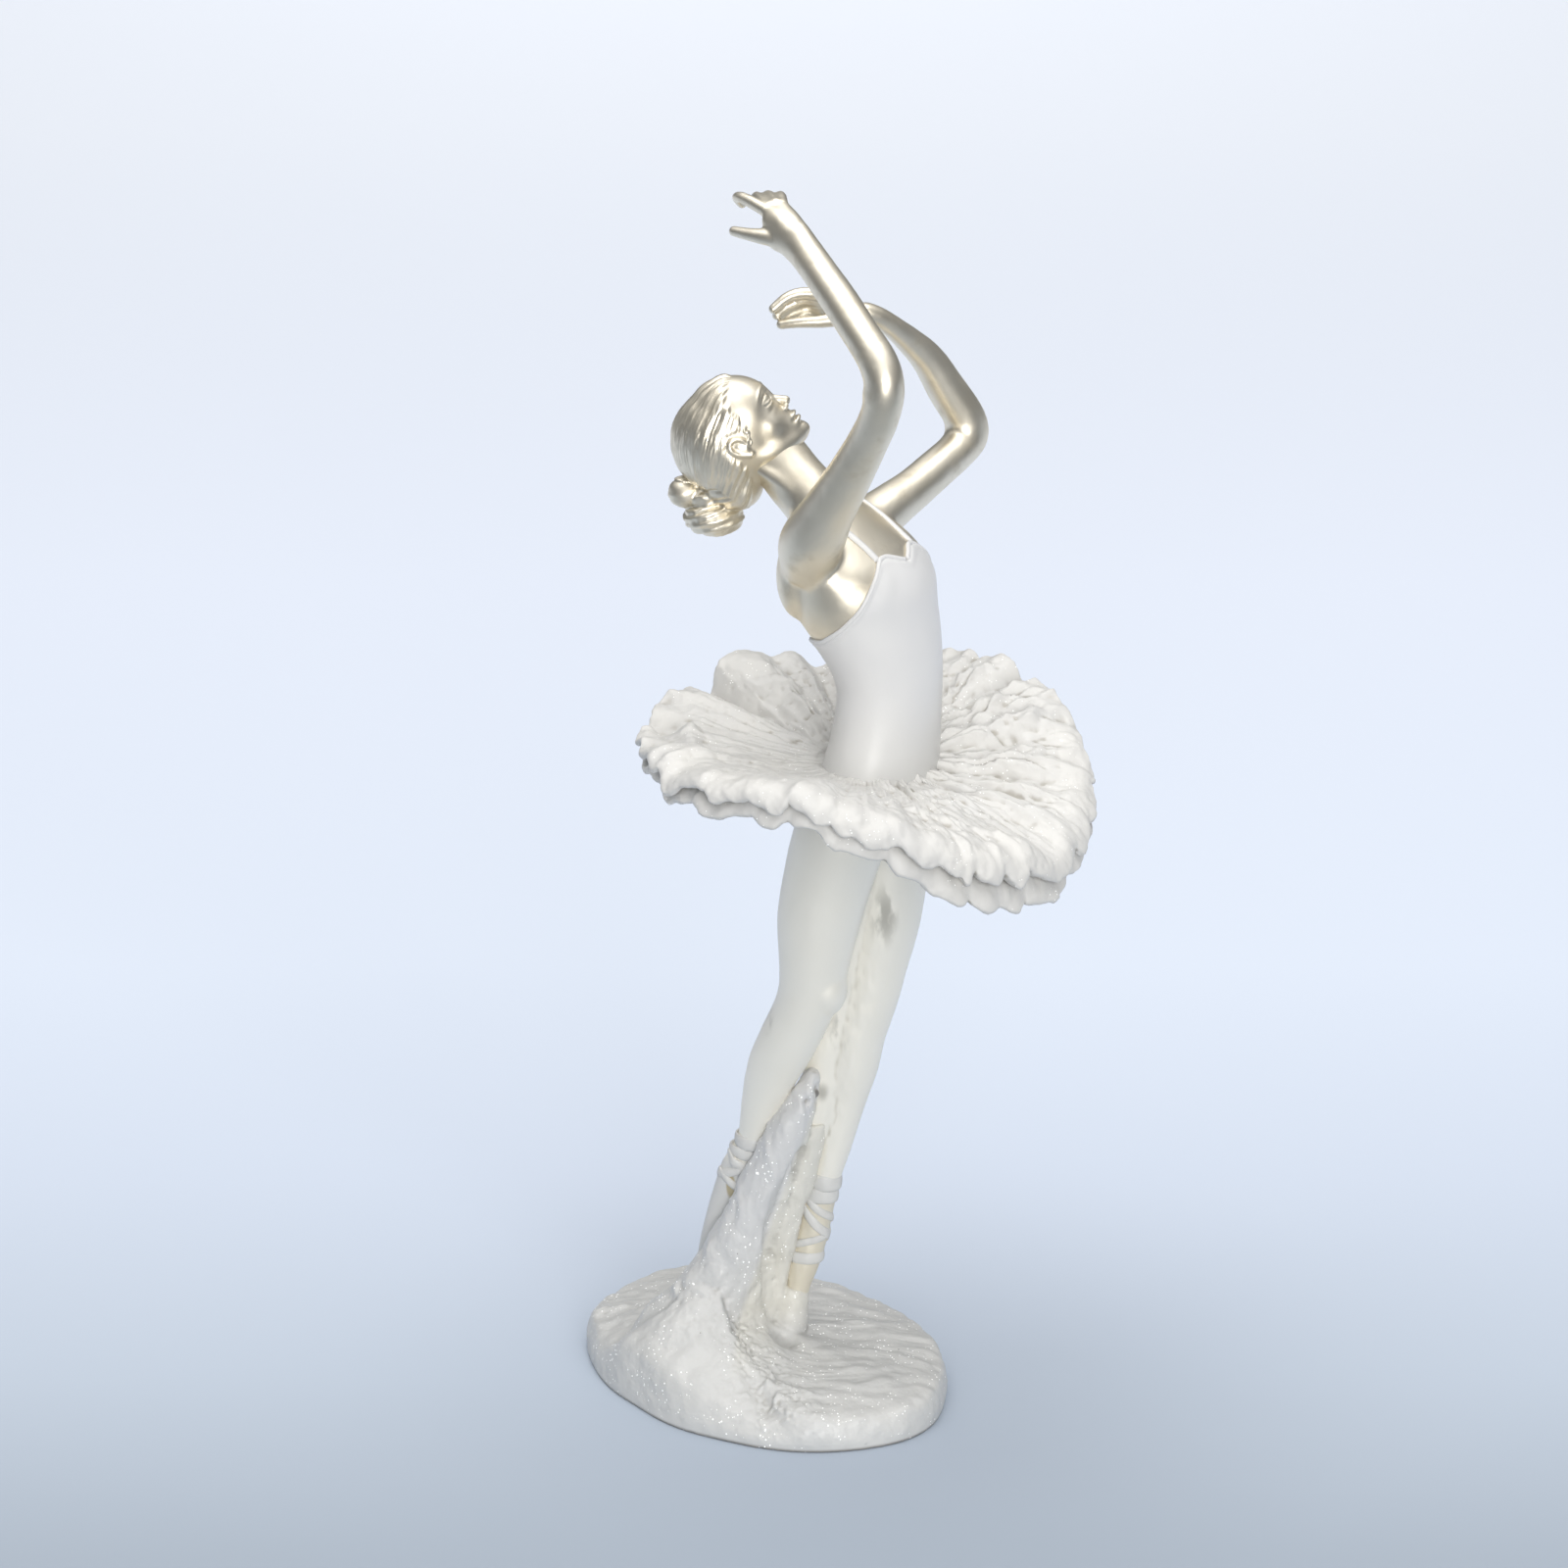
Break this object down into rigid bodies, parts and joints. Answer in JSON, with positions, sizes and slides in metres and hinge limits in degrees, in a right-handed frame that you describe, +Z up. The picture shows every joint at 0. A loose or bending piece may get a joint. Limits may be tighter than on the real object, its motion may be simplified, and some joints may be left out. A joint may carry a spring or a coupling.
{
  "type": "ballerina figurine",
  "caption": "Cast resin ballerina figurine in an arched pose on tiptoe, in a leotard and ruffled tutu, held up by a rising wave on an oval base.",
  "frame": {"origin": "middle of the flat underside of the oval base", "axes": "+Z up, the dancer's body faces -Y, her left hand is on +X"},
  "size_m": [0.0903, 0.1058, 0.2399],
  "materials": {
    "pearl_resin": "off-white pearl painted cast resin, satin, with soft glitter"
  },
  "bodies": {
    "root": {"ballerina_figurine": "pearl_resin"}
  },
  "joints": []
}
